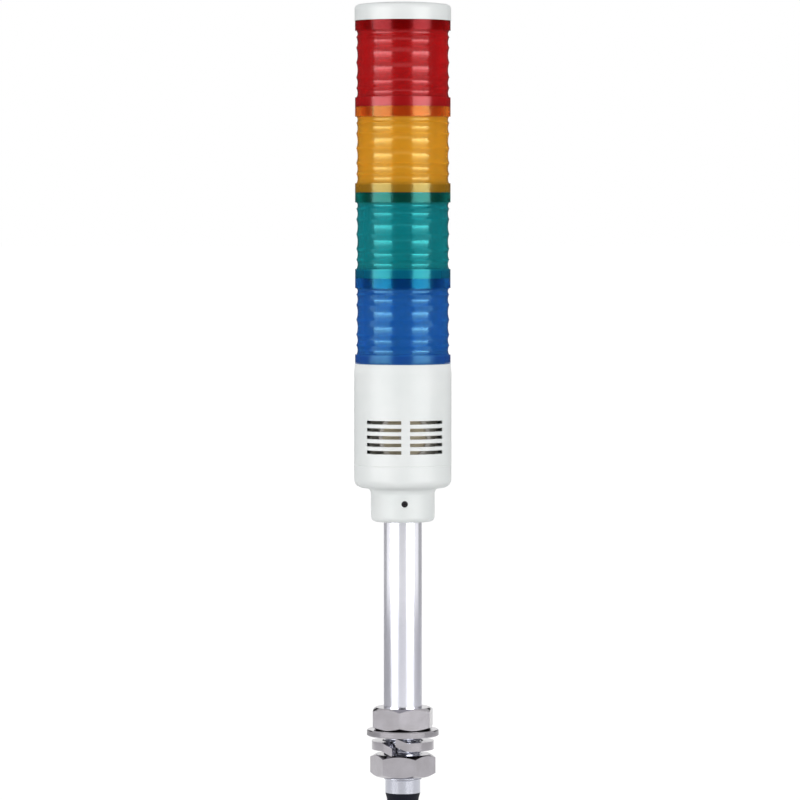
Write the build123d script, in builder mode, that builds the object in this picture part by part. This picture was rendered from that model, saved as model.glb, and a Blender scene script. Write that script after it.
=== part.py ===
from build123d import *
from math import asin, cos, pi, radians, sin, sqrt, tan
import os

# Four-tier signal tower light with a buzzer on an 18 mm pole with threaded-stem fixings.
# Millimetres, +Z up, origin at the centre of the pole's lower end face, slots towards -Y.

# Pole and its threaded stem
pole_d = 18.0
pole_bore_d = 13.0
pole_length = 150.0
stem_end_step = 0.7
stem_end_length = 6.0
stem_end_chamfer = 0.6

# Stem fixings
nut_across_flats = 27.0
nut_height = 10.5
nut_chamfer_angle = 30.0
nut_face_share = 0.95
nut_bore_clearance = 0.05
lower_nut_bottom = 7.8
lower_nut_turn = -131.0
upper_nut_turn = -99.0
flat_washer_d = 34.0
flat_washer_clearance = 0.5
flat_washer_thickness = 3.0
flat_washer_chamfer = 0.4
spring_washer_clearance = 0.7
spring_washer_width = 5.0
spring_washer_thickness = 4.0
spring_washer_free_height = 8.7
spring_split_direction = -110.4
spring_split_gap = 7.0
spring_end_arc = 22.0

# Cable bush in the stem's end
bush_head_height = 3.0
bush_head_taper = 0.8
bush_tail_length = 5.4
bush_tail_taper = 0.4
bush_plug_length = 6.0
bush_bore_d = 6.5
bush_plug_clearance = 0.05

# Base holder: collar and cup in one moulding
pole_socket_depth = 21.6
pole_socket_clearance = 0.05
collar_wall = 6.0
collar_height = 16.0
collar_edge_radius = 2.4
collar_root_radius = 3.0
cup_height = 10.8
cup_corner_radius = 4.0
cup_floor = 2.5
pole_boss_wall = 2.95
pole_boss_roof = 2.0
cable_hole_step = 0.5
holder_spigot_height = 4.0
holder_spigot_wall = 1.6
holder_spigot_clearance = 0.1

# Set screw that clamps the pole
set_screw_d = 3.0
set_screw_recess = 0.85
set_screw_height = 8.9
set_screw_socket_flats = 1.5
set_screw_socket_depth = 1.8
set_screw_clearance = 0.05

# Buzzer housing
housing_overhang = 0.45
housing_height = 47.7
seam_edge = 0.2
housing_wall = 2.3
housing_top_overhang = 0.05
housing_top_taper = 4.2
housing_ledge_drop = 6.2
housing_ledge_width = 3.2
housing_ledge_thickness = 1.6

# Sound slots in the housing's front
slot_rows = 5
slot_pitch = 3.5
slot_height = 1.7
slot_first_height = 6.65
slot_rib = 4.0
slot_side_margin = 5.3

# Sounder on its driver board, in the housing's guide rails
board_thickness = 1.6
driver_board_inset = 4.65
driver_board_headroom = 0.9
driver_board_lift = 5.0
driver_board_y = -4.4
board_clearance = 0.1
rail_width = 4.4
rail_grip = 1.2
sounder_d = 24.0
sounder_front_clearance = 1.8
sounder_rim = 1.6
sounder_rim_depth = 2.0
sounder_hole_d = 5.0
diaphragm_thickness = 0.4

# Terminal block on the driver board's back
terminal_width = 20.0
terminal_depth = 7.5
terminal_height = 9.0
terminal_ways = 5
terminal_screw_d = 2.6

# Contact plate under the lowest tier
contact_plate_clearance = 0.5
contact_plate_thickness = 1.4

# Lens of one tier
tier_pitch = 40.3
lens_d = 45.0
lens_wall = 2.5
lens_bottom_flange = 4.3
lens_top_flange = 4.7
rib_crest_inset = 0.55
rib_depth = 0.6
rib_centre = 20.7
rib_offsets = (-12.0, -7.0, 0.0, 7.0, 12.0)
lens_web = 1.5

# Bayonet: three spigot lugs under three socket lugs, undone by a turn to the left
lug_count = 3
lug_reach = 0.9
spigot_wall = 1.5
spigot_depth = 4.7
lug_arc = 25.0
lug_stop_arc = 3.2
lug_side_clearance = 0.3
lug_radial_clearance = 0.1
lug_axial_clearance = 0.1
lug_root = 0.2
socket_lug_drop = 0.5
socket_lug_height = 1.5

# Flat gasket in the groove under each flange
gasket_gap = 1.5
gasket_width = 1.0
gasket_thickness = 0.8

# Inside one tier
carrier_clearance = 0.1
carrier_thickness = 1.8
carrier_boss_d = 12.0
carrier_pocket_depth = 2.0
carrier_pocket_wall = 2.0
diffuser_clearance = 0.8
diffuser_wall = 1.2
diffuser_headroom = 0.3
diffuser_flutes = 24
diffuser_flute_d = 1.6
led_board_inset = 3.6
led_board_headroom = 0.1
led_size = 3.5
led_height = 1.3
led_rows = 4
led_row_pitch = 6.6
led_column_pitch = 12.0
led_first_row = 6.4

# Cap
cap_overhang = 0.2
cap_skirt = 7.5
cap_dome = 1.4
cap_edge_radius = 2.4
cap_wall = 2.0

# Heights that follow from the sizes above
head_bottom = pole_length - pole_socket_depth
cup_bottom = head_bottom + collar_height
housing_bottom = cup_bottom + cup_height
housing_top = housing_bottom + housing_height
cap_bottom = housing_top + 4 * tier_pitch
lower_nut_top = lower_nut_bottom + nut_height
flat_washer_bottom = lower_nut_top + spring_washer_free_height
upper_nut_bottom = flat_washer_bottom + flat_washer_thickness
socket_lug_bottom = -socket_lug_drop - socket_lug_height
spigot_lug_top = socket_lug_bottom - lug_axial_clearance
tier_room = tier_pitch - spigot_depth - lens_web - carrier_thickness

# Radii round the pole
pole_r = pole_d / 2
pole_bore_r = pole_bore_d / 2
stem_end_r = pole_r - stem_end_step
pole_socket_r = pole_r + pole_socket_clearance
collar_r = pole_socket_r + collar_wall
pole_boss_r = pole_socket_r + pole_boss_wall
cable_hole_r = pole_bore_r - cable_hole_step
spring_middle_r = pole_r + spring_washer_clearance + spring_washer_width / 2

# Radii of the tower
lens_r = lens_d / 2
lens_bore_r = lens_r - lens_wall
rib_crest_r = lens_r - rib_crest_inset
rib_valley_r = rib_crest_r - rib_depth
spigot_r = lens_bore_r - lug_reach
spigot_bore_r = spigot_r - spigot_wall
groove_r = spigot_r + gasket_gap
carrier_r = spigot_r - carrier_clearance
diffuser_r = spigot_bore_r - diffuser_clearance
led_board_width = 2 * (diffuser_r - diffuser_wall - led_board_inset)
cap_r = lens_r + cap_overhang
housing_r = lens_r + housing_overhang
housing_top_r = lens_r + housing_top_overhang
housing_bore_r = housing_r - housing_wall
holder_spigot_r = housing_bore_r - holder_spigot_clearance
driver_board_width = 2 * (housing_bore_r - driver_board_inset)
ledge_underside = housing_height - housing_ledge_drop - housing_ledge_thickness
driver_board_height = ledge_underside - driver_board_lift - driver_board_headroom

# Tiers from the bottom up, each with the turn of its lamp board about the axis
tiers = (("blue", 8.0), ("green", 8.0), ("amber", -8.0), ("red", 0.0))

os.makedirs("parts", exist_ok=True)


def nearest(sketch, x, y):
    """The sketch corner closest to a point."""
    return sketch.vertices().sort_by_distance((x, y, 0))[0]


def save(piece, name):
    piece.label = name
    export_step(piece, f"parts/{name}.step")


def ring_sectors(bottom, height, inner_r, outer_r, arc, middle):
    """Equally spaced pieces of a ring, each spanning an arc about its middle."""
    reach = 2 * outer_r
    side = radians(arc / 2)
    with BuildPart() as sectors:
        with BuildSketch(Plane.XY.offset(bottom)):
            with PolarLocations(0, lug_count, start_angle=middle):
                Polygon(
                    (0, 0),
                    (reach * cos(side), -reach * sin(side)),
                    (reach * cos(side), reach * sin(side)),
                    align=None,
                )
            Circle(outer_r, mode=Mode.INTERSECT)
            Circle(inner_r, mode=Mode.SUBTRACT)
        extrude(amount=height)
    return sectors.part


def socket_lugs(top):
    """Inward lugs of a bayonet socket, each with a stop leg at its closed end."""
    inner_r = spigot_r + lug_radial_clearance
    root_r = lens_bore_r + lug_root
    stop_middle = -(lug_arc + lug_stop_arc) / 2 - lug_side_clearance
    whole_arc = lug_arc + lug_stop_arc + lug_side_clearance
    whole_middle = -(lug_stop_arc + lug_side_clearance) / 2
    roof_bottom = top + socket_lug_bottom
    leg_height = spigot_depth + socket_lug_bottom
    with BuildPart() as lugs:
        add(ring_sectors(roof_bottom, socket_lug_height, inner_r, root_r, whole_arc, whole_middle))
        add(ring_sectors(top - spigot_depth, leg_height, inner_r, root_r, lug_stop_arc, stop_middle))
    return lugs.part


def spigot_lugs(bottom):
    """Outward lugs at the end of a bayonet spigot."""
    root_r = spigot_r - lug_root
    outer_r = lens_bore_r - lug_radial_clearance
    height = spigot_depth + spigot_lug_top
    return ring_sectors(bottom - spigot_depth, height, root_r, outer_r, lug_arc, 0)


def hex_nut(bottom, turn):
    """Chamfered hexagon nut round the stem."""
    corner_r = nut_across_flats / 2 / cos(pi / 6)
    face_r = nut_across_flats / 2 * nut_face_share
    drop = (corner_r - face_r) * tan(radians(nut_chamfer_angle))
    with BuildPart() as nut:
        with BuildSketch(Plane.XY.offset(bottom)):
            RegularPolygon(corner_r, 6, rotation=turn)
            Circle(pole_r + nut_bore_clearance, mode=Mode.SUBTRACT)
        extrude(amount=nut_height)
        with BuildSketch(Plane.XZ):
            Polygon(
                (0, bottom),
                (face_r, bottom),
                (corner_r, bottom + drop),
                (corner_r, bottom + nut_height - drop),
                (face_r, bottom + nut_height),
                (0, bottom + nut_height),
                align=None,
            )
        revolve(axis=Axis.Z, mode=Mode.INTERSECT)
    return nut.part


# Pole, turned down at its lower end
with BuildPart() as pole:
    with BuildSketch():
        Circle(pole_r)
        Circle(pole_bore_r, mode=Mode.SUBTRACT)
    extrude(amount=pole_length)
    with BuildSketch():
        Circle(pole_d)
        Circle(stem_end_r, mode=Mode.SUBTRACT)
    extrude(amount=stem_end_length, mode=Mode.SUBTRACT)
    shoulder = pole.edges().filter_by(GeomType.CIRCLE).group_by(Axis.Z)[1].sort_by(SortBy.RADIUS)[-1]
    chamfer(shoulder, stem_end_chamfer)
save(pole.part, "pole")

# Two equal nuts, a flat washer and a spring washer between them
save(hex_nut(lower_nut_bottom, lower_nut_turn), "lower_nut")
save(hex_nut(upper_nut_bottom, upper_nut_turn), "upper_nut")

with BuildPart() as flat_washer:
    with BuildSketch(Plane.XY.offset(flat_washer_bottom)):
        Circle(flat_washer_d / 2)
        Circle(pole_r + flat_washer_clearance, mode=Mode.SUBTRACT)
    extrude(amount=flat_washer_thickness)
    rims = flat_washer.edges().filter_by(GeomType.CIRCLE).sort_by(SortBy.RADIUS)[-2:]
    chamfer(rims, flat_washer_chamfer)
save(flat_washer.part, "flat_washer")

# Spring washer: a level ring whose split ends are bent up and down
spring_middle_z = lower_nut_top + spring_washer_free_height / 2
spring_bend = (spring_washer_free_height - spring_washer_thickness) / 2
spring_end_pitch = spring_bend * 360 / spring_end_arc
spring_level_arc = 360 - spring_split_gap - 2 * spring_end_arc


def washer_section(direction, height):
    """Plane through the axis, for a section of the spring washer's ring."""
    turn = radians(direction)
    along = (cos(turn), sin(turn), 0)
    return Plane(origin=(0, 0, height), x_dir=along, z_dir=(sin(turn), -cos(turn), 0))


def washer_end(direction, height):
    """Bent end of the spring washer, rising clockwise from a direction and height."""
    with BuildPart() as end:
        with BuildLine() as path:
            Helix(spring_end_pitch, spring_bend, spring_middle_r, (0, 0, height), lefthand=True)
        with BuildSketch(washer_section(0, height)):
            with Locations((spring_middle_r, 0)):
                Rectangle(spring_washer_width, spring_washer_thickness)
        sweep(path=path.line, is_frenet=True)
    return end.part.rotate(Axis.Z, direction)


level_start = spring_split_direction + spring_split_gap / 2 + spring_end_arc
low_end_start = level_start + spring_level_arc + spring_end_arc
high_end = washer_end(level_start, spring_middle_z)
low_end = washer_end(low_end_start, spring_middle_z - spring_bend)
with BuildPart() as spring_washer:
    with BuildSketch(washer_section(level_start, spring_middle_z)):
        with Locations((spring_middle_r, 0)):
            Rectangle(spring_washer_width, spring_washer_thickness)
    revolve(axis=Axis.Z, revolution_arc=spring_level_arc)
    add(high_end)
    add(low_end)
save(spring_washer.part, "spring_washer")

# Rubber bush: plug in the stem, conical head under it and tapered tail
with BuildPart() as cable_bush:
    plug_r = pole_bore_r - bush_plug_clearance
    neck_r = stem_end_r - bush_head_taper
    bush_bottom = -bush_head_height - bush_tail_length
    with BuildSketch(Plane.XZ):
        Polygon(
            (bush_bore_d / 2, bush_plug_length),
            (bush_bore_d / 2, bush_bottom),
            (neck_r - bush_tail_taper, bush_bottom),
            (neck_r, -bush_head_height),
            (stem_end_r, 0),
            (plug_r, 0),
            (plug_r, bush_plug_length),
            align=None,
        )
    revolve(axis=Axis.Z)
save(cable_bush.part, "cable_bush")

# Base holder: the collar takes the pole, the cup carries the housing
with BuildPart() as base_holder:
    spigot_top = housing_bottom + holder_spigot_height
    cup_bore_r = holder_spigot_r - holder_spigot_wall
    floor_top = cup_bottom + cup_floor
    boss_top = pole_length + pole_boss_roof
    corner_room = min(housing_r - collar_r - collar_root_radius, cup_height)
    with BuildSketch(Plane.XZ) as section:
        Polygon(
            (pole_socket_r, head_bottom),
            (collar_r, head_bottom),
            (collar_r, cup_bottom),
            (housing_r, cup_bottom),
            (housing_r, housing_bottom),
            (holder_spigot_r, housing_bottom),
            (holder_spigot_r, spigot_top),
            (cup_bore_r, spigot_top),
            (cup_bore_r, floor_top),
            (pole_boss_r, floor_top),
            (pole_boss_r, boss_top),
            (cable_hole_r, boss_top),
            (cable_hole_r, pole_length),
            (pole_socket_r, pole_length),
            align=None,
        )
        fillet(nearest(section, collar_r, head_bottom), collar_edge_radius)
        fillet(nearest(section, collar_r, cup_bottom), collar_root_radius)
        fillet(nearest(section, housing_r, cup_bottom), min(cup_corner_radius, 0.9 * corner_room))
        chamfer(nearest(section, housing_r, housing_bottom), seam_edge)
    revolve(axis=Axis.Z)
    with BuildSketch(Plane.XZ.offset(pole_r)):
        with Locations((0, head_bottom + set_screw_height)):
            Circle(set_screw_d / 2 + set_screw_clearance)
    extrude(amount=collar_r, mode=Mode.SUBTRACT)
save(base_holder.part, "base_holder")

# Socket set screw against the pole, sunk below the collar's face
set_screw_length = pole_socket_clearance + collar_wall - set_screw_recess
with BuildPart() as set_screw:
    with BuildSketch(Plane.XZ.offset(pole_r)):
        with Locations((0, head_bottom + set_screw_height)):
            Circle(set_screw_d / 2)
    extrude(amount=set_screw_length)
    with BuildSketch(Plane.XZ.offset(pole_r + set_screw_length)):
        with Locations((0, head_bottom + set_screw_height)):
            RegularPolygon(set_screw_socket_flats / 2, 6, major_radius=False)
    extrude(amount=-set_screw_socket_depth, mode=Mode.SUBTRACT)
save(set_screw.part, "set_screw")

# Buzzer housing: turned shell, guide rails, bayonet socket and sound slots
rail_bottom = housing_bottom + driver_board_lift
ledge_top = housing_top - housing_ledge_drop
slot_centre = housing_bottom + slot_first_height + (slot_rows - 1) * slot_pitch / 2
slot_length = housing_r - slot_side_margin - slot_rib / 2
board_middle_y = driver_board_y - board_thickness / 2
housing_lugs = socket_lugs(housing_top)
with BuildPart() as buzzer_housing:
    ledge_r = housing_bore_r - housing_ledge_width
    with BuildSketch(Plane.XZ) as section:
        Polygon(
            (housing_bore_r, housing_bottom),
            (housing_r, housing_bottom),
            (housing_r, housing_top - housing_top_taper),
            (housing_top_r, housing_top),
            (lens_bore_r, housing_top),
            (lens_bore_r, ledge_top),
            (ledge_r, ledge_top),
            (ledge_r, ledge_top - housing_ledge_thickness),
            (housing_bore_r, ledge_top - housing_ledge_thickness),
            align=None,
        )
        chamfer(nearest(section, housing_r, housing_bottom), seam_edge)
    revolve(axis=Axis.Z)
    with BuildSketch(Plane.XY.offset(rail_bottom)):
        for side in (-1, 1):
            with Locations((side * housing_bore_r, board_middle_y)):
                Rectangle(2 * (housing_bore_r - driver_board_width / 2 + rail_grip), rail_width)
        Circle(housing_bore_r + housing_wall / 2, mode=Mode.INTERSECT)
        with Locations((0, board_middle_y)):
            Rectangle(
                driver_board_width + 2 * board_clearance,
                board_thickness + 2 * board_clearance,
                mode=Mode.SUBTRACT,
            )
    extrude(amount=driver_board_height)
    add(housing_lugs)
    with BuildSketch(Plane.XZ):
        with Locations((0, slot_centre)):
            with GridLocations(slot_length + slot_rib, slot_pitch, 2, slot_rows):
                Rectangle(slot_length, slot_height)
    extrude(amount=housing_r, mode=Mode.SUBTRACT)
save(buzzer_housing.part, "buzzer_housing")

# Driver board, standing in the rails
with BuildPart() as driver_board:
    with BuildSketch(Plane.XZ.offset(-driver_board_y)):
        with Locations((0, rail_bottom + driver_board_height / 2)):
            Rectangle(driver_board_width, driver_board_height)
    extrude(amount=board_thickness)
save(driver_board.part, "driver_board")

# Sounder case with a sound hole, and the piezo diaphragm in its mouth
sounder_z = slot_centre
sounder_back = board_thickness - driver_board_y
sounder_front = sqrt(housing_bore_r**2 - (sounder_d / 2) ** 2) - sounder_front_clearance
sounder_depth = sounder_front - sounder_back
with BuildPart() as sounder:
    with BuildSketch(Plane.XZ.offset(sounder_back)):
        with Locations((0, sounder_z)):
            Circle(sounder_d / 2)
    extrude(amount=sounder_depth)
    with BuildSketch(Plane.XZ.offset(sounder_front)):
        with Locations((0, sounder_z)):
            Circle(sounder_d / 2 - sounder_rim)
    extrude(amount=-sounder_rim_depth, mode=Mode.SUBTRACT)
save(sounder.part, "sounder")

with BuildPart() as diaphragm:
    with BuildSketch(Plane.XZ.offset(sounder_front - sounder_rim_depth)):
        with Locations((0, sounder_z)):
            Circle(sounder_d / 2 - sounder_rim - board_clearance)
            Circle(sounder_hole_d / 2, mode=Mode.SUBTRACT)
    extrude(amount=diaphragm_thickness)
save(diaphragm.part, "sounder_diaphragm")

# Terminal block behind the driver board
terminal_pitch = terminal_width / terminal_ways
with BuildPart() as terminal_block:
    terminal_bottom = rail_bottom + terminal_height / 2
    with BuildSketch(Plane.XY.offset(terminal_bottom)):
        with Locations((0, driver_board_y + terminal_depth / 2)):
            Rectangle(terminal_width, terminal_depth)
    extrude(amount=terminal_height)
    with BuildSketch(Plane.XY.offset(terminal_bottom + terminal_height)):
        with Locations((0, driver_board_y + terminal_depth / 2)):
            with GridLocations(terminal_pitch, terminal_pitch, terminal_ways, 1):
                Circle(terminal_screw_d / 2)
    extrude(amount=-terminal_screw_d, mode=Mode.SUBTRACT)
save(terminal_block.part, "terminal_block")

# Contact plate on the housing's ledge
with BuildPart() as contact_plate:
    with BuildSketch(Plane.XY.offset(ledge_top)):
        Circle(lens_bore_r - contact_plate_clearance)
    extrude(amount=contact_plate_thickness)
save(contact_plate.part, "contact_plate")


def gasket(bottom):
    """Flat ring that fills the groove under a flange."""
    with BuildPart() as ring:
        with BuildSketch(Plane.XY.offset(bottom)):
            Circle(groove_r + gasket_width)
            Circle(groove_r, mode=Mode.SUBTRACT)
        extrude(amount=gasket_thickness)
    return ring.part


def lens(bottom):
    """Ribbed tier lens: flanges, scalloped window, spigot below and socket above."""
    top = bottom + tier_pitch
    low_lugs = spigot_lugs(bottom)
    high_lugs = socket_lugs(top)
    with BuildPart() as tier_lens:
        with BuildSketch(Plane.XZ):
            with BuildLine():
                crests = [bottom + rib_centre + step for step in rib_offsets]
                stops = [bottom + lens_bottom_flange, *crests, top - lens_top_flange]
                Polyline(
                    (rib_crest_r, stops[0]),
                    (lens_r, stops[0]),
                    (lens_r, bottom),
                    (groove_r + gasket_width, bottom),
                    (groove_r + gasket_width, bottom + gasket_thickness),
                    (groove_r, bottom + gasket_thickness),
                    (groove_r, bottom),
                    (spigot_r, bottom),
                    (spigot_r, bottom - spigot_depth),
                    (spigot_bore_r, bottom - spigot_depth),
                    (spigot_bore_r, bottom + lens_web),
                    (lens_bore_r, bottom + lens_web),
                    (lens_bore_r, top),
                    (lens_r, top),
                    (lens_r, stops[-1]),
                    (rib_crest_r, stops[-1]),
                )
                for low, high in zip(stops, stops[1:]):
                    ThreePointArc(
                        (rib_crest_r, low),
                        (rib_valley_r, (low + high) / 2),
                        (rib_crest_r, high),
                    )
            make_face()
        revolve(axis=Axis.Z)
        add(low_lugs)
        add(high_lugs)
    return tier_lens.part


def carrier(bottom, turn):
    """Disc on the lens web, with a pocket for the lamp board and a contact boss below."""
    with BuildPart() as disc:
        with BuildSketch(Plane.XY.offset(bottom + lens_web)):
            Circle(carrier_r)
        extrude(amount=carrier_thickness)
        with BuildSketch(Plane.XY.offset(bottom + lens_web)):
            Circle(carrier_boss_d / 2)
        extrude(amount=-lens_web - spigot_depth)
        with BuildSketch(Plane.XY.offset(bottom + lens_web + carrier_thickness)):
            Rectangle(
                board_thickness + 2 * carrier_pocket_wall,
                led_board_width + 2 * carrier_pocket_wall,
                rotation=turn,
            )
            Rectangle(
                board_thickness + 2 * board_clearance,
                led_board_width + 2 * board_clearance,
                rotation=turn,
                mode=Mode.SUBTRACT,
            )
        extrude(amount=carrier_pocket_depth)
    return disc.part


def diffuser(bottom):
    """Fluted inner tube round the lamp board."""
    with BuildPart() as tube:
        with BuildSketch(Plane.XY.offset(bottom)):
            Circle(diffuser_r)
            with PolarLocations(diffuser_r, diffuser_flutes):
                Circle(diffuser_flute_d / 2, mode=Mode.SUBTRACT)
            Circle(diffuser_r - diffuser_wall, mode=Mode.SUBTRACT)
        extrude(amount=tier_room - diffuser_headroom)
    return tube.part


def lamp_board(bottom, turn):
    """Circuit board that stands edge-on to the front."""
    with BuildPart() as board:
        with BuildSketch(Plane.XY.offset(bottom)):
            Rectangle(board_thickness, led_board_width, rotation=turn)
        extrude(amount=tier_room - led_board_headroom)
    return board.part


def lamp_leds(bottom, turn):
    """Surface-mount lamps on both faces of the board."""
    across = cos(radians(turn)), sin(radians(turn)), 0
    middle = bottom + led_first_row + (led_rows - 1) * led_row_pitch / 2
    with BuildPart() as leds:
        for side in (-1, 1):
            face = Plane(
                origin=(
                    side * across[0] * board_thickness / 2,
                    side * across[1] * board_thickness / 2,
                    middle,
                ),
                x_dir=(-across[1], across[0], 0),
                z_dir=(side * across[0], side * across[1], 0),
            )
            with BuildSketch(face):
                with GridLocations(led_column_pitch, led_row_pitch, 2, led_rows):
                    Rectangle(led_size, led_size)
            extrude(amount=led_height)
    return leds.part


# Four tiers, each with its own lens, gasket, carrier, diffuser, board and lamps
for level, (colour, turn) in enumerate(tiers):
    tier_bottom = housing_top + level * tier_pitch
    carrier_top = tier_bottom + lens_web + carrier_thickness
    save(lens(tier_bottom), f"lens_{colour}")
    save(gasket(tier_bottom), f"gasket_{colour}")
    save(carrier(tier_bottom, turn), f"carrier_{colour}")
    save(diffuser(carrier_top), f"diffuser_{colour}")
    save(lamp_board(carrier_top, turn), f"lamp_board_{colour}")
    save(lamp_leds(carrier_top, turn), f"leds_{colour}")

# Cap: shallow dome, skirt, and the same spigot as a lens
cap_lugs = spigot_lugs(cap_bottom)
with BuildPart() as cap:
    cap_top = cap_bottom + cap_skirt
    crown = cap_top + cap_dome
    with BuildSketch(Plane.XZ) as section:
        with BuildLine():
            Polyline(
                (0, crown - cap_wall),
                (spigot_bore_r, cap_top - cap_wall),
                (spigot_bore_r, cap_bottom - spigot_depth),
                (spigot_r, cap_bottom - spigot_depth),
                (spigot_r, cap_bottom),
                (groove_r, cap_bottom),
                (groove_r, cap_bottom + gasket_thickness),
                (groove_r + gasket_width, cap_bottom + gasket_thickness),
                (groove_r + gasket_width, cap_bottom),
                (cap_r, cap_bottom),
                (cap_r, cap_top),
            )
            dome_r = ((cap_r) ** 2 + cap_dome**2) / (2 * cap_dome)
            half_way = asin(cap_r / 2 / dome_r)
            ThreePointArc(
                (cap_r, cap_top),
                (cap_r / 2, crown - dome_r * (1 - cos(half_way))),
                (0, crown),
            )
            Line((0, crown), (0, crown - cap_wall))
        make_face()
        fillet(nearest(section, cap_r, cap_top), cap_edge_radius)
    revolve(axis=Axis.Z)
    add(cap_lugs)
save(cap.part, "cap")
save(gasket(cap_bottom), "gasket_cap")
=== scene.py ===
from math import cos, hypot, pi, radians, sin, tan

import bpy
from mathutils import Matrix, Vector


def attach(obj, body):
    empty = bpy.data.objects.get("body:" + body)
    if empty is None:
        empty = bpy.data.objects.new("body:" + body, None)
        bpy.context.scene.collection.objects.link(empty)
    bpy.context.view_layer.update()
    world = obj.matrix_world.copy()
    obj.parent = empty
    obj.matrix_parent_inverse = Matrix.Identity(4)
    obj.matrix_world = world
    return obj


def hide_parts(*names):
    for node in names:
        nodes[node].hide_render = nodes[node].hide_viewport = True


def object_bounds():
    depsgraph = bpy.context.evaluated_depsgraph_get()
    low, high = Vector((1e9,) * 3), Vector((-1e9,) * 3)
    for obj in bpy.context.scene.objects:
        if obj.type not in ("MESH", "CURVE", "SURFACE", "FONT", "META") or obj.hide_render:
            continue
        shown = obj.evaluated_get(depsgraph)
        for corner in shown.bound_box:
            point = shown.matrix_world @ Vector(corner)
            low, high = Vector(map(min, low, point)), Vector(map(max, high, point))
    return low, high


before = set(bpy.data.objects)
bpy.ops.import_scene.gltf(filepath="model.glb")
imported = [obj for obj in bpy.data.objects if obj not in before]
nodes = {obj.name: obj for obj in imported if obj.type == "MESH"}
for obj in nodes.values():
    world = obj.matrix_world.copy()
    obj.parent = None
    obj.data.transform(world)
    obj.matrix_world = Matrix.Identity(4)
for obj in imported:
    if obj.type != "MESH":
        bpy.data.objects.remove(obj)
cad_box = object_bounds()
MM = 0.001

# View: a far camera at the height of the green tier, turned so that the slots sit right of
# centre. All azimuths are in degrees from the camera's side of the part, positive to its right.
PIXELS = 800
MM_PER_PIXEL = 0.4717
IMAGE_MIDDLE_Z = 185.7 * MM
HORIZON_Z = 272.4 * MM
CAMERA_DISTANCE = 2.17
CAMERA_AZIMUTH = -3.4
CAMERA_REACH = 50
AXIS_OFFSET_PX = 2.8
SENSOR_MM = 36.0

# Two upright soft boxes, and what continues each of them upwards: bottom, top and glow
BOX_DISTANCE = 2.0
BOX_LOW_Z = 0.03
BOX_HIGH_Z = 0.5
BOX_LEFT = (-80, -28)
BOX_RIGHT = (24, 70)
BOX_POWER = 16.0
BOX_TOPS = ((0.5, 0.9, 3.2), (0.9, 1.38, 1.7))

# Room light in front of the part and behind it, and how much stronger it is overhead, between
# two values of the upward share of its direction
ROOM_FRONT = (0.36, 0.36, 0.3708)
ROOM_BACK = (1.0, 1.0, 1.02)
ROOM_OVERHEAD = 1.5
OVERHEAD_RANGE = (0.75, 0.9)

# Floor: its paint, and its white glow where it is seen
FLOOR_REACH = 40.0
FLOOR_SHADE = 0.42
FLOOR_ROUGHNESS = 0.9
FLOOR_GLOW = 1.2
FLOOR_GLOW_SHARE = 0.8

# Upright cards that only the object's gloss sees, grey beside the pole and dark elsewhere:
# distance, two azimuths, bottom, top and shade
DARK = 0.03
CARDS = (
    (0.3, 72, 165, -0.008, 0.06, 0.75),
    (0.3, 108, 165, 0.06, 0.13, 0.55),
    (0.3, 66, 165, 0.13, 1.4, DARK),
    (0.3, -165, -73, -0.008, 0.06, 0.6),
    (0.3, -165, -112, 0.06, 0.13, 0.6),
    (0.3, -165, -76, 0.13, 1.4, DARK),
    (2.6, -28, 24, 0.0, 1.4, DARK),
)
CARD_STEPS = 8
ROOF_HEIGHT = 1.4
ROOF_REACH = 3.0

# Ring card just over the housing's top edge, and the glow of its underside
SHELF_HEIGHT = 0.2034
SHELF_THICKNESS = 1 * MM
SHELF_RADII = (0.0237, 0.3)
SHELF_STEPS = 64
SHELF_UNDERSIDE = 0.8

# Pale strips on the roof and the shelf, over and under the soft boxes, which carry their bars
# on between the ribs: height, and two azimuths at each radius
UNDER_ROOF = ROOF_HEIGHT - 0.01
OVER_SHELF = SHELF_HEIGHT + 0.0005
STRIPS = (
    (UNDER_ROOF, ((0.3, -88, -32), (3.0, -82, -30))),
    (UNDER_ROOF, ((0.3, 27, 80), (3.0, 25, 74))),
    (OVER_SHELF,
     ((0.0237, -46, -18), (0.03, -59, -22), (0.051, -71, -25), (0.1, -86, -32), (0.3, -82, -29))),
    (OVER_SHELF,
     ((0.0237, 17, 41), (0.03, 20, 52), (0.051, 22, 62), (0.1, 29, 77), (0.3, 25, 72))),
)
STRIP_GLOW = 1.2

# Outline of the pole as in its solid, and the thread that is cut into its stem: its crest and
# its flanks as shares of half a pitch
POLE_RADIUS = 9.0 * MM
POLE_BORE_RADIUS = 6.5 * MM
POLE_LENGTH = 150.0 * MM
POLE_STEPS = 96
POLE_SHARP_ANGLE = radians(35)
STEM_END = ((8.3 * MM, 0.0), (8.3 * MM, 6.0 * MM), (8.4 * MM, 6.0 * MM))
THREAD_PITCH = 1.5 * MM
THREAD_LOW = 6.6 * MM
THREAD_TOP = 30.0 * MM
THREAD_DEPTH = 0.9 * MM
THREAD_STEPS = 12
THREAD_RUN_OUT = 0.8 * MM
THREAD_CREST = 0.125
THREAD_FLANK = 0.625
TUBE_BOTTOM = 30.4 * MM

# Where a finish has NOISES, they are the scales of the noise in its colour, its roughness and
# its relief, and BUMP is the depth of the relief

# The pole's metal: painted shade darkens the tube towards its foot, and the stem below it is
# darker still
TUBE_COLOURS = ((232, 232, 240), (240, 240, 247))
TUBE_SHADED_COLOURS = ((214, 214, 224), (222, 222, 231))
STEM_COLOURS = ((182, 183, 192), (192, 194, 204))
# Painted shade on the tube begins at this height and is full this much lower
TUBE_SHADE_TOP = 102.0 * MM
TUBE_SHADE_BLEND = 23.0 * MM
STEM_BLEND = 0.2 * MM
POLE_ROUGHNESS = (0.16, 0.24)
POLE_STRETCH = (1, 1, 0.15)
POLE_BUMP = 0.002 * MM

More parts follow.
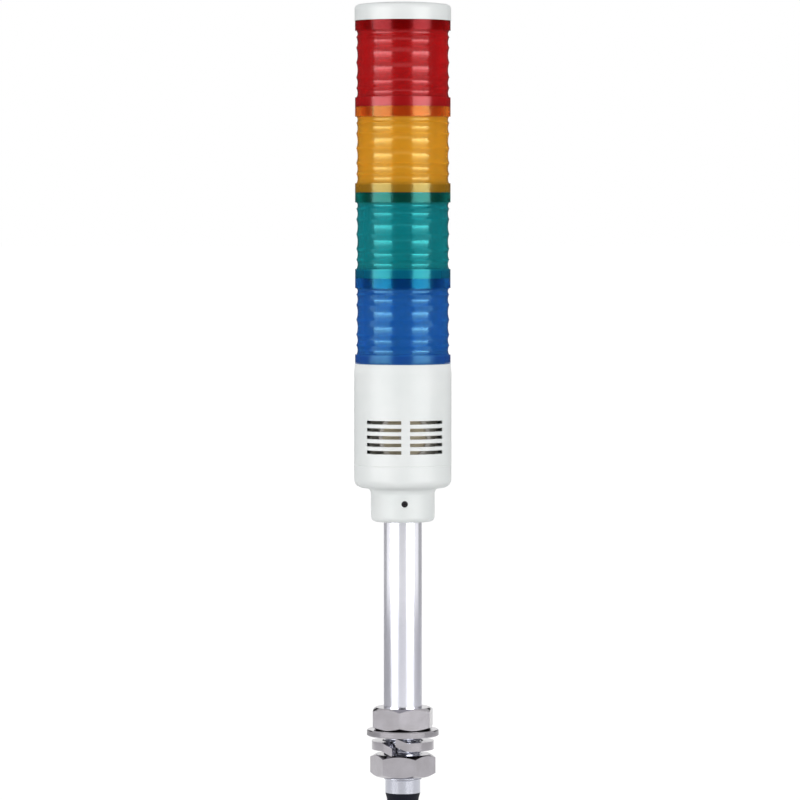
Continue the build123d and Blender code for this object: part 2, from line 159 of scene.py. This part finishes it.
# Metals: two colours, and the range of roughness
METALS = {
    "plated_steel": ((164, 161, 165), (174, 171, 176), 0.12, 0.18),
    "dark_steel": ((60, 58, 60), (78, 76, 78), 0.35, 0.5),
    "brass_disc": ((206, 194, 170), (214, 204, 182), 0.3, 0.45),
}
METAL_NOISES = (120, 500, 900)
METAL_BUMP = 0.006 * MM

# Plastics: two colours, roughness, strength of the gloss, and clarity
PLASTICS = {
    "white_plastic": ((235, 239, 237), (239, 242, 240), 0.37, 0.5, 0.0),
    "carrier_plastic": ((214, 214, 210), (224, 224, 220), 0.5, 0.5, 0.0),
    "diffuser_plastic": ((226, 228, 230), (236, 238, 240), 0.14, 1.0, 0.8),
    "lamp_board": ((150, 156, 146), (160, 166, 156), 0.4, 0.5, 0.0),
    "led_package": ((236, 228, 176), (244, 238, 196), 0.3, 0.5, 0.0),
    "circuit_board": ((198, 194, 184), (206, 202, 192), 0.45, 0.5, 0.0),
    "sounder_case": ((196, 190, 184), (204, 198, 192), 0.5, 0.5, 0.0),
    "terminal_plastic": ((40, 96, 66), (50, 108, 76), 0.45, 0.5, 0.0),
    "black_rubber": ((12, 14, 24), (17, 19, 32), 0.62, 0.15, 0.0),
}
PLASTIC_IOR = 1.5
PLASTIC_SPREAD = (-0.04, 0.05)
PLASTIC_NOISES = (60, 300, 1800)
PLASTIC_BUMP_DETAIL = 2
PLASTIC_BUMP = 0.004 * MM

# Lenses from the bottom: colours of flange foot, window and top flange, tints of the gloss on
# the window and on the top flange, and clarity of the window
TIER_PITCH = 40.3 * MM
TIER_LOW = 202.9 * MM
# The flange colours are darker than the window: partly the tint of a second wall behind them,
# partly painted shade of the dark space inside
LENSES = {
    "blue": ((38, 98, 190), (38, 131, 219), (24, 114, 198),
             (0.3, 0.85, 1.0), (0.06, 0.8, 1.0), 0.66),
    "green": ((0, 118, 156), (2, 174, 182), (2, 128, 118),
              (0.13, 1.0, 0.98), (0.25, 1.0, 0.92), 0.66),
    "amber": ((186, 136, 28), (255, 189, 40), (248, 130, 38),
              (1.0, 0.98, 0.4), (1.0, 0.85, 0.28), 0.56),
    "red": ((204, 22, 28), (225, 22, 27), (176, 10, 14),
            (1.0, 0.42, 0.44), (1.0, 0.17, 0.19), 0.68),
}

# Shares of a tier's height at which its colours and its other values change, and these values
# for flange foot, window and top flange
COLOUR_STOPS = (0.0, 0.085, 0.125, 0.865, 0.895, 1.0)
ZONE_STOPS = (0.09, 0.12, 0.87, 0.89)
LENS_ROUGHNESS = (0.2, 0.15, 0.2)
LENS_COAT = (0.0, 0.14, 0.0)
LENS_COAT_ROUGHNESS = 0.38
LENS_GLOSS = 1.0
LENS_COLOUR_NOISE = 40
LENS_COLOUR_STRETCH = (1, 1, 0.4)
LENS_BUMP_NOISE = 90
LENS_BUMP_STRETCH = (1, 1, 0.5)
LENS_BUMP = 0.02 * MM
FOOT_CLARITY = 0.5
TOP_CLARITY = 0.9

# Spread of the noise over which the two colours of a finish blend, or one colour varies
BLEND_RANGE = (0.35, 0.65)
VARY_RANGE = (0.3, 0.7)
LENS_VARIATION = (0.9, 1.08)

# Which nodes wear which finish, once and in every tier
FINISHED = {
    "white_plastic": ("cap", "base_holder", "buzzer_housing", "contact_plate"),
    "black_rubber": ("cable_bush", "gasket_cap"),
    "plated_steel": ("upper_nut", "lower_nut", "flat_washer", "spring_washer"),
    "dark_steel": ("set_screw",),
    "brass_disc": ("sounder_diaphragm",),
    "sounder_case": ("sounder",),
    "circuit_board": ("driver_board",),
    "terminal_plastic": ("terminal_block",),
}
FINISHED_IN_TIER = {
    "black_rubber": "gasket",
    "carrier_plastic": "carrier",
    "diffuser_plastic": "diffuser",
    "lamp_board": "lamp_board",
    "led_package": "leds",
}


def direction(azimuth):
    """Unit vector in plan towards an azimuth."""
    turned = radians(azimuth + CAMERA_AZIMUTH)
    return Vector((sin(turned), -cos(turned), 0))


def add_object(name, data):
    thing = bpy.data.objects.new(name, data)
    bpy.context.scene.collection.objects.link(thing)
    return thing


def add_mesh(name, corners, faces):
    mesh = bpy.data.meshes.new(name)
    mesh.from_pydata(corners, [], faces)
    return add_object(name, mesh)


def square(reach, height):
    sides = ((-reach, -reach), (reach, -reach), (reach, reach), (-reach, reach))
    return [(x, y, height) for x, y in sides]


def make_camera():
    data = bpy.data.cameras.new("camera")
    rise = HORIZON_Z - IMAGE_MIDDLE_Z
    data.sensor_width = SENSOR_MM
    data.lens = SENSOR_MM * hypot(CAMERA_DISTANCE, rise) / (PIXELS * MM_PER_PIXEL * MM)
    data.clip_end = CAMERA_REACH
    camera = add_object("camera", data)
    towards = direction(0)
    right = Vector((-towards.y, towards.x, 0))
    aim = Vector((0, 0, IMAGE_MIDDLE_Z)) - right * AXIS_OFFSET_PX * MM_PER_PIXEL * MM
    camera.location = aim + towards * CAMERA_DISTANCE + Vector((0, 0, rise))
    camera.rotation_euler = (aim - camera.location).to_track_quat("-Z", "Y").to_euler()
    bpy.context.scene.camera = camera


def make_soft_box(name, low, high):
    """Upright rectangular lamp that fills an azimuth range as seen from the part."""
    facing = direction((low + high) / 2)
    data = bpy.data.lights.new(name, "AREA")
    data.shape = "RECTANGLE"
    data.size = 2 * BOX_DISTANCE * tan(radians(high - low) / 2)
    data.size_y = BOX_HIGH_Z - BOX_LOW_Z
    data.energy = BOX_POWER
    lamp = add_object(name, data)
    lamp.location = facing * BOX_DISTANCE + Vector((0, 0, (BOX_LOW_Z + BOX_HIGH_Z) / 2))
    lamp.rotation_euler = facing.to_track_quat("Z", "Y").to_euler()


def new_material(name):
    """A node material and its Principled shader."""
    material = bpy.data.materials.new(name)
    material.use_nodes = True
    return material, material.node_tree.nodes["Principled BSDF"]


def remap(tree, value, source, target=(0.0, 1.0)):
    """A value moved from one range to another and held inside it."""
    node = tree.nodes.new("ShaderNodeMapRange")
    for ends, (low, high) in (("From", source), ("To", target)):
        node.inputs[f"{ends} Min"].default_value = low
        node.inputs[f"{ends} Max"].default_value = high
    tree.links.new(value, node.inputs["Value"])
    return node.outputs["Result"]


def ramp(tree, value, positions, colours):
    """Colours at rising positions of a value, blended between them."""
    node = tree.nodes.new("ShaderNodeValToRGB")
    elements = node.color_ramp.elements
    while len(elements) < len(positions):
        elements.new(0.5)
    for element, position, colour in zip(elements, positions, colours):
        element.position = position
        element.color = (*colour, 1)
    tree.links.new(value, node.inputs["Fac"])
    return node.outputs["Color"]


def seen_share(tree):
    """1 on rays that see, mirror or look through to a surface, 0 on rays that only light."""
    path = tree.nodes.new("ShaderNodeLightPath")
    total = path.outputs["Is Camera Ray"]
    for name in ("Is Glossy Ray", "Is Transmission Ray"):
        plus = tree.nodes.new("ShaderNodeMath")
        plus.operation = "MAXIMUM"
        tree.links.new(total, plus.inputs[0])
        tree.links.new(path.outputs[name], plus.inputs[1])
        total = plus.outputs[0]
    return total


def make_card(name, corners, faces, shade, glow=0.0):
    """Studio card that only the object's gloss sees."""
    card = add_mesh(name, corners, faces)
    material, paint = new_material(name)
    paint.inputs["Base Color"].default_value = (shade, shade, shade, 1)
    paint.inputs["Roughness"].default_value = 1.0
    paint.inputs["Emission Color"].default_value = (1, 1, 1, 1)
    paint.inputs["Emission Strength"].default_value = glow
    card.data.materials.append(material)
    card.visible_camera = False
    card.visible_diffuse = False
    card.visible_transmission = False
    card.visible_shadow = False


def make_bent_card(name, rows, shade, glow=0.0):
    """Card through rows, each a radius, two azimuths and a height."""
    corners = []
    for reach, low, high, height in rows:
        turns = [low + (high - low) * i / CARD_STEPS for i in range(CARD_STEPS + 1)]
        corners += [(*(direction(turn) * reach).xy, height) for turn in turns]
    row = CARD_STEPS + 1
    faces = [(j * row + i, j * row + i + 1, (j + 1) * row + i + 1, (j + 1) * row + i)
             for j in range(len(rows) - 1) for i in range(CARD_STEPS)]
    make_card(name, corners, faces, shade, glow)


def make_upright_card(name, distance, low, high, bottom, top, shade, glow=0.0):
    """Card that stands on an arc round the part."""
    rows = [(distance, low, high, height) for height in (bottom, top)]
    make_bent_card(name, rows, shade, glow)


def make_shelf():
    """Ring card under the lenses: dark above, for their gloss, and pale below, for the nuts'."""
    turns = [2 * pi * i / SHELF_STEPS for i in range(SHELF_STEPS)]
    ends = [(i, (i + 1) % SHELF_STEPS) for i in range(SHELF_STEPS)]
    faces = [(i, k, k + SHELF_STEPS, i + SHELF_STEPS) for i, k in ends]
    sides = (("upper", SHELF_HEIGHT, 0.0),
             ("lower", SHELF_HEIGHT - SHELF_THICKNESS, SHELF_UNDERSIDE))
    for side, height, glow in sides:
        corners = [(r * cos(a), r * sin(a), height) for r in SHELF_RADII for a in turns]
        make_card(f"card_shelf_{side}", corners, faces, DARK, glow)


def make_world():
    """Room light that is brighter behind and over the part, and plain white where it is seen."""
    world = bpy.data.worlds.new("studio")
    bpy.context.scene.world = world
    world.use_nodes = True
    tree = world.node_tree
    tree.nodes.clear()
    place = tree.nodes.new("ShaderNodeTexCoord")
    split = tree.nodes.new("ShaderNodeSeparateXYZ")
    room = tree.nodes.new("ShaderNodeBackground")
    seen = tree.nodes.new("ShaderNodeBackground")
    mix = tree.nodes.new("ShaderNodeMixShader")
    out = tree.nodes.new("ShaderNodeOutputWorld")
    seen.inputs["Color"].default_value = (1, 1, 1, 1)
    tree.links.new(place.outputs["Generated"], split.inputs[0])
    behind = remap(tree, split.outputs["Y"], (-1.0, 1.0))
    colour = ramp(tree, behind, (0.0, 1.0), (ROOM_FRONT, ROOM_BACK))
    strength = remap(tree, split.outputs["Z"], OVERHEAD_RANGE, (1.0, ROOM_OVERHEAD))
    tree.links.new(colour, room.inputs["Color"])
    tree.links.new(strength, room.inputs["Strength"])
    tree.links.new(seen_share(tree), mix.inputs["Fac"])
    tree.links.new(room.outputs[0], mix.inputs[1])
    tree.links.new(seen.outputs[0], mix.inputs[2])
    tree.links.new(mix.outputs[0], out.inputs["Surface"])


def make_floor():
    """Pale floor under the part, white where it is seen and not shaded."""
    floor = add_mesh("floor", square(FLOOR_REACH, cad_box[0][2]), [(0, 1, 2, 3)])
    material, paint = new_material("floor")
    tree = material.node_tree
    paint.inputs["Base Color"].default_value = (FLOOR_SHADE, FLOOR_SHADE, FLOOR_SHADE, 1)
    paint.inputs["Roughness"].default_value = FLOOR_ROUGHNESS
    glow = tree.nodes.new("ShaderNodeEmission")
    glow.inputs["Strength"].default_value = FLOOR_GLOW
    share = tree.nodes.new("ShaderNodeMath")
    share.operation = "MULTIPLY"
    share.inputs[1].default_value = FLOOR_GLOW_SHARE
    mix = tree.nodes.new("ShaderNodeMixShader")
    tree.links.new(seen_share(tree), share.inputs[0])
    tree.links.new(share.outputs[0], mix.inputs["Fac"])
    tree.links.new(paint.outputs[0], mix.inputs[1])
    tree.links.new(glow.outputs[0], mix.inputs[2])
    tree.links.new(mix.outputs[0], tree.nodes["Material Output"].inputs["Surface"])
    floor.data.materials.append(material)


def srgb(red, green, blue):
    """Linear colour from screen values of 0 to 255."""
    def linear(value):
        value /= 255
        return value / 12.92 if value <= 0.04045 else ((value + 0.055) / 1.055) ** 2.4
    return linear(red), linear(green), linear(blue)


class Finish:
    """A node material on one Principled shader, with a few procedural layers to choose from."""

    def __init__(self, name, metallic=0.0):
        self.material, self.shader = new_material(name)
        self.tree = self.material.node_tree
        self.place = self.tree.nodes.new("ShaderNodeTexCoord").outputs["Object"]
        self.set("Metallic", metallic)

    def set(self, socket, value):
        self.shader.inputs[socket].default_value = value

    def feed(self, socket, output):
        self.tree.links.new(output, self.shader.inputs[socket])

    def noise(self, scale, detail=3.0, stretch=(1, 1, 1)):
        mapping = self.tree.nodes.new("ShaderNodeMapping")
        mapping.inputs["Scale"].default_value = stretch
        noise = self.tree.nodes.new("ShaderNodeTexNoise")
        noise.inputs["Scale"].default_value = scale
        noise.inputs["Detail"].default_value = detail
        self.tree.links.new(self.place, mapping.inputs["Vector"])
        self.tree.links.new(mapping.outputs[0], noise.inputs["Vector"])
        return noise.outputs["Fac"]

    def mottle(self, noise, dark, light):
        """Two screen colours blended by a noise."""
        return ramp(self.tree, noise, BLEND_RANGE, (srgb(*dark), srgb(*light)))

    def vary(self, colour, noise, spread):
        """Lightens and darkens a colour by a noise."""
        scale = self.tree.nodes.new("ShaderNodeVectorMath")
        scale.operation = "SCALE"
        self.tree.links.new(colour, scale.inputs[0])
        self.tree.links.new(remap(self.tree, noise, VARY_RANGE, spread), scale.inputs["Scale"])
        return scale.outputs[0]

    def blend(self, share, first, second):
        mix = self.tree.nodes.new("ShaderNodeMix")
        mix.data_type = "RGBA"
        self.tree.links.new(share, mix.inputs["Factor"])
        self.tree.links.new(first, mix.inputs["A"])
        self.tree.links.new(second, mix.inputs["B"])
        return mix.outputs["Result"]

    def height_share(self, start, end):
        """0 to 1 from one height to another."""
        split = self.tree.nodes.new("ShaderNodeSeparateXYZ")
        self.tree.links.new(self.place, split.inputs[0])
        return remap(self.tree, split.outputs["Z"], (start, end))

    def roughness(self, noise, low, high):
        self.feed("Roughness", remap(self.tree, noise, (0.0, 1.0), (low, high)))

    def bump(self, noise, depth):
        bump = self.tree.nodes.new("ShaderNodeBump")
        bump.inputs["Strength"].default_value = 1.0
        bump.inputs["Distance"].default_value = depth
        self.tree.links.new(noise, bump.inputs["Height"])
        self.feed("Normal", bump.outputs["Normal"])


def moulded_plastic(name, dark, light, roughness, gloss, clarity):
    finish = Finish(name)
    mottle, wear, grain = PLASTIC_NOISES
    finish.feed("Base Color", finish.mottle(finish.noise(mottle), dark, light))
    finish.roughness(finish.noise(wear), *(roughness + change for change in PLASTIC_SPREAD))
    finish.bump(finish.noise(grain, detail=PLASTIC_BUMP_DETAIL), PLASTIC_BUMP)
    finish.set("IOR", PLASTIC_IOR)
    finish.set("Specular IOR Level", gloss)
    finish.set("Transmission Weight", clarity)
    return finish.material


def lens_plastic(name, low, foot, window, top, tint, top_tint, clarity):
    """Clear tinted plastic, darker at its flanges: partly the tint of a second wall behind them,
    partly painted shade.
    """
    finish = Finish(name)
    height = finish.height_share(low, low + TIER_PITCH)

    def by_zone(socket, values):
        """Feeds a socket with one value each for flange foot, window and top flange."""
        greys = [(values[zone],) * 3 for zone in (0, 1, 1, 2)]
        finish.feed(socket, ramp(finish.tree, height, ZONE_STOPS, greys))

    foot, window, top = srgb(*foot), srgb(*window), srgb(*top)
    # Painted shade: the flange colours are darker than the window's
    colour = ramp(finish.tree, height, COLOUR_STOPS, (foot, foot, window, window, top, top))
    mottle = finish.noise(LENS_COLOUR_NOISE, stretch=LENS_COLOUR_STRETCH)
    finish.feed("Base Color", finish.vary(colour, mottle, LENS_VARIATION))
    finish.feed("Specular Tint", ramp(finish.tree, height, ZONE_STOPS[2:], (tint, top_tint)))
    by_zone("Roughness", LENS_ROUGHNESS)
    by_zone("Coat Weight", LENS_COAT)
    by_zone("Transmission Weight", (FOOT_CLARITY, clarity, TOP_CLARITY))
    finish.bump(finish.noise(LENS_BUMP_NOISE, stretch=LENS_BUMP_STRETCH), LENS_BUMP)
    finish.set("Coat Roughness", LENS_COAT_ROUGHNESS)
    finish.set("IOR", PLASTIC_IOR)
    finish.set("Specular IOR Level", LENS_GLOSS)
    return finish.material


def metal(name, dark, light, low, high):
    finish = Finish(name, metallic=1.0)
    mottle, wear, grain = METAL_NOISES
    finish.feed("Base Color", finish.mottle(finish.noise(mottle), dark, light))
    finish.roughness(finish.noise(wear), low, high)
    finish.bump(finish.noise(grain), METAL_BUMP)
    return finish.material


def pole_metal(name):
    """Bright drawn tube with painted shade that darkens it a little towards its foot, and a
    threaded stem.
    """
    finish = Finish(name, metallic=1.0)
    mottle, wear, grain = (finish.noise(scale, stretch=POLE_STRETCH) for scale in METAL_NOISES)
    tube = finish.mottle(mottle, *TUBE_COLOURS)
    # Painted shade: the tube's lower part takes these darker colours
    foot = finish.mottle(mottle, *TUBE_SHADED_COLOURS)
    stem = finish.mottle(mottle, *STEM_COLOURS)
    low = finish.height_share(TUBE_SHADE_TOP, TUBE_SHADE_TOP - TUBE_SHADE_BLEND)
    lowest = finish.height_share(THREAD_TOP + STEM_BLEND, THREAD_TOP - STEM_BLEND)
    finish.feed("Base Color", finish.blend(lowest, finish.blend(low, tube, foot), stem))
    finish.roughness(wear, *POLE_ROUGHNESS)
    finish.bump(grain, POLE_BUMP)
    return finish.material


def groove(turns):
    """Depth share of the thread, 0 on its flat crest and 1 on its flat root."""
    rise = 1 - abs(2 * (turns % 1) - 1)
    return min(max((rise - THREAD_CREST) / THREAD_FLANK, 0), 1)


def pole_radius(height, turn):
    """Outer radius of the pole over its stem, with the thread fading out at both ends."""
    fade = min(height - THREAD_LOW, THREAD_TOP - height) / THREAD_RUN_OUT
    depth = THREAD_DEPTH * min(max(fade, 0), 1)
    return POLE_RADIUS - depth * groove(height / THREAD_PITCH - turn / (2 * pi))


def make_pole(material):
    """The pole with its thread cut in, which stands for the plain solid."""
    turns = [2 * pi * i / POLE_STEPS for i in range(POLE_STEPS)]
    rows = [[corner] * POLE_STEPS for corner in STEM_END]
    count = round((THREAD_TOP - THREAD_LOW) / THREAD_PITCH * THREAD_STEPS)
    for i in range(count + 1):
        height = THREAD_LOW + (THREAD_TOP - THREAD_LOW) * i / count
        rows.append([(pole_radius(height, turn), height) for turn in turns])
    tube = ((POLE_RADIUS, TUBE_BOTTOM), (POLE_RADIUS, POLE_LENGTH))
    bore = ((POLE_BORE_RADIUS, POLE_LENGTH), (POLE_BORE_RADIUS, 0.0))
    rows += [[corner] * POLE_STEPS for corner in tube + bore]
    corners = [(r * cos(a), r * sin(a), z) for row in rows for a, (r, z) in zip(turns, row)]
    faces = []
    for j in range(len(rows)):
        low, high = j * POLE_STEPS, (j + 1) % len(rows) * POLE_STEPS
        for i in range(POLE_STEPS):
            k = (i + 1) % POLE_STEPS
            faces.append((low + i, low + k, high + k, high + i))
    pole = add_mesh("threaded_pole", corners, faces)
    pole.data.polygons.foreach_set("use_smooth", [True] * len(faces))
    pole.data.set_sharp_from_angle(angle=POLE_SHARP_ANGLE)
    pole.data.materials.append(material)
    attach(pole, "base")
    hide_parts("pole")


def dress(material, *names):
    for name in names:
        piece = nodes[name]
        piece.data.materials.clear()
        piece.data.materials.append(material)


make_camera()
make_soft_box("soft_box_left", *BOX_LEFT)
make_soft_box("soft_box_right", *BOX_RIGHT)
for number, place in enumerate(CARDS):
    make_upright_card(f"card_{number}", *place)
make_card("card_roof", square(ROOF_REACH, ROOF_HEIGHT), [(0, 1, 2, 3)], DARK)
make_shelf()
for number, (height, rings) in enumerate(STRIPS):
    make_bent_card(f"strip_{number}", [(*ring, height) for ring in rings], DARK, STRIP_GLOW)
for number, (bottom, top, glow) in enumerate(BOX_TOPS):
    for side, azimuths in (("left", BOX_LEFT), ("right", BOX_RIGHT)):
        name = f"box_top_{side}_{number}"
        make_upright_card(name, BOX_DISTANCE, *azimuths, bottom, top, DARK, glow)
make_world()
make_floor()

finishes = {name: moulded_plastic(name, *look) for name, look in PLASTICS.items()}
finishes |= {name: metal(name, *look) for name, look in METALS.items()}
for name, pieces in FINISHED.items():
    dress(finishes[name], *pieces)
make_pole(pole_metal("pole_metal"))
for level, (colour, look) in enumerate(LENSES.items()):
    lens = f"lens_{colour}"
    dress(lens_plastic(lens, TIER_LOW + level * TIER_PITCH, *look), lens)
    for name, piece in FINISHED_IN_TIER.items():
        dress(finishes[name], f"{piece}_{colour}")

bpy.context.scene.view_settings.view_transform = "Standard"
